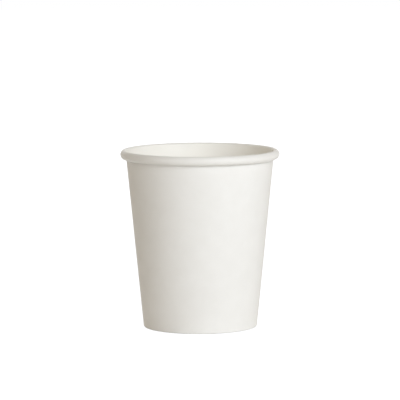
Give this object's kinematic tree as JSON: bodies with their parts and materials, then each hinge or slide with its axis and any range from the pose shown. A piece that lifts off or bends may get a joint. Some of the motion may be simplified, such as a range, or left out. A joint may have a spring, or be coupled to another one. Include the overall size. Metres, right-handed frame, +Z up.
{
  "type": "paper coffee cup",
  "caption": "Plain white single-wall paper coffee cup: a tapered lapped wall with a rolled rim and a folded heel that grips a raised base disc.",
  "frame": {"origin": "centre of the heel's ring, on the plane that the cup stands on", "axes": "+Z up along the cup's axis, towards the open mouth; +Y is the side turned away in the picture; the side seam lies 9 degrees from +X towards +Y"},
  "size_m": [0.073, 0.073, 0.0817],
  "materials": {
    "wall_board": "uncoated white board outside, smooth coated board inside and over the rolled rim",
    "base_board": "smooth coated board above, uncoated white board below"
  },
  "bodies": {
    "root": {"side_wall": "wall_board", "base_disc": "base_board"}
  },
  "joints": []
}
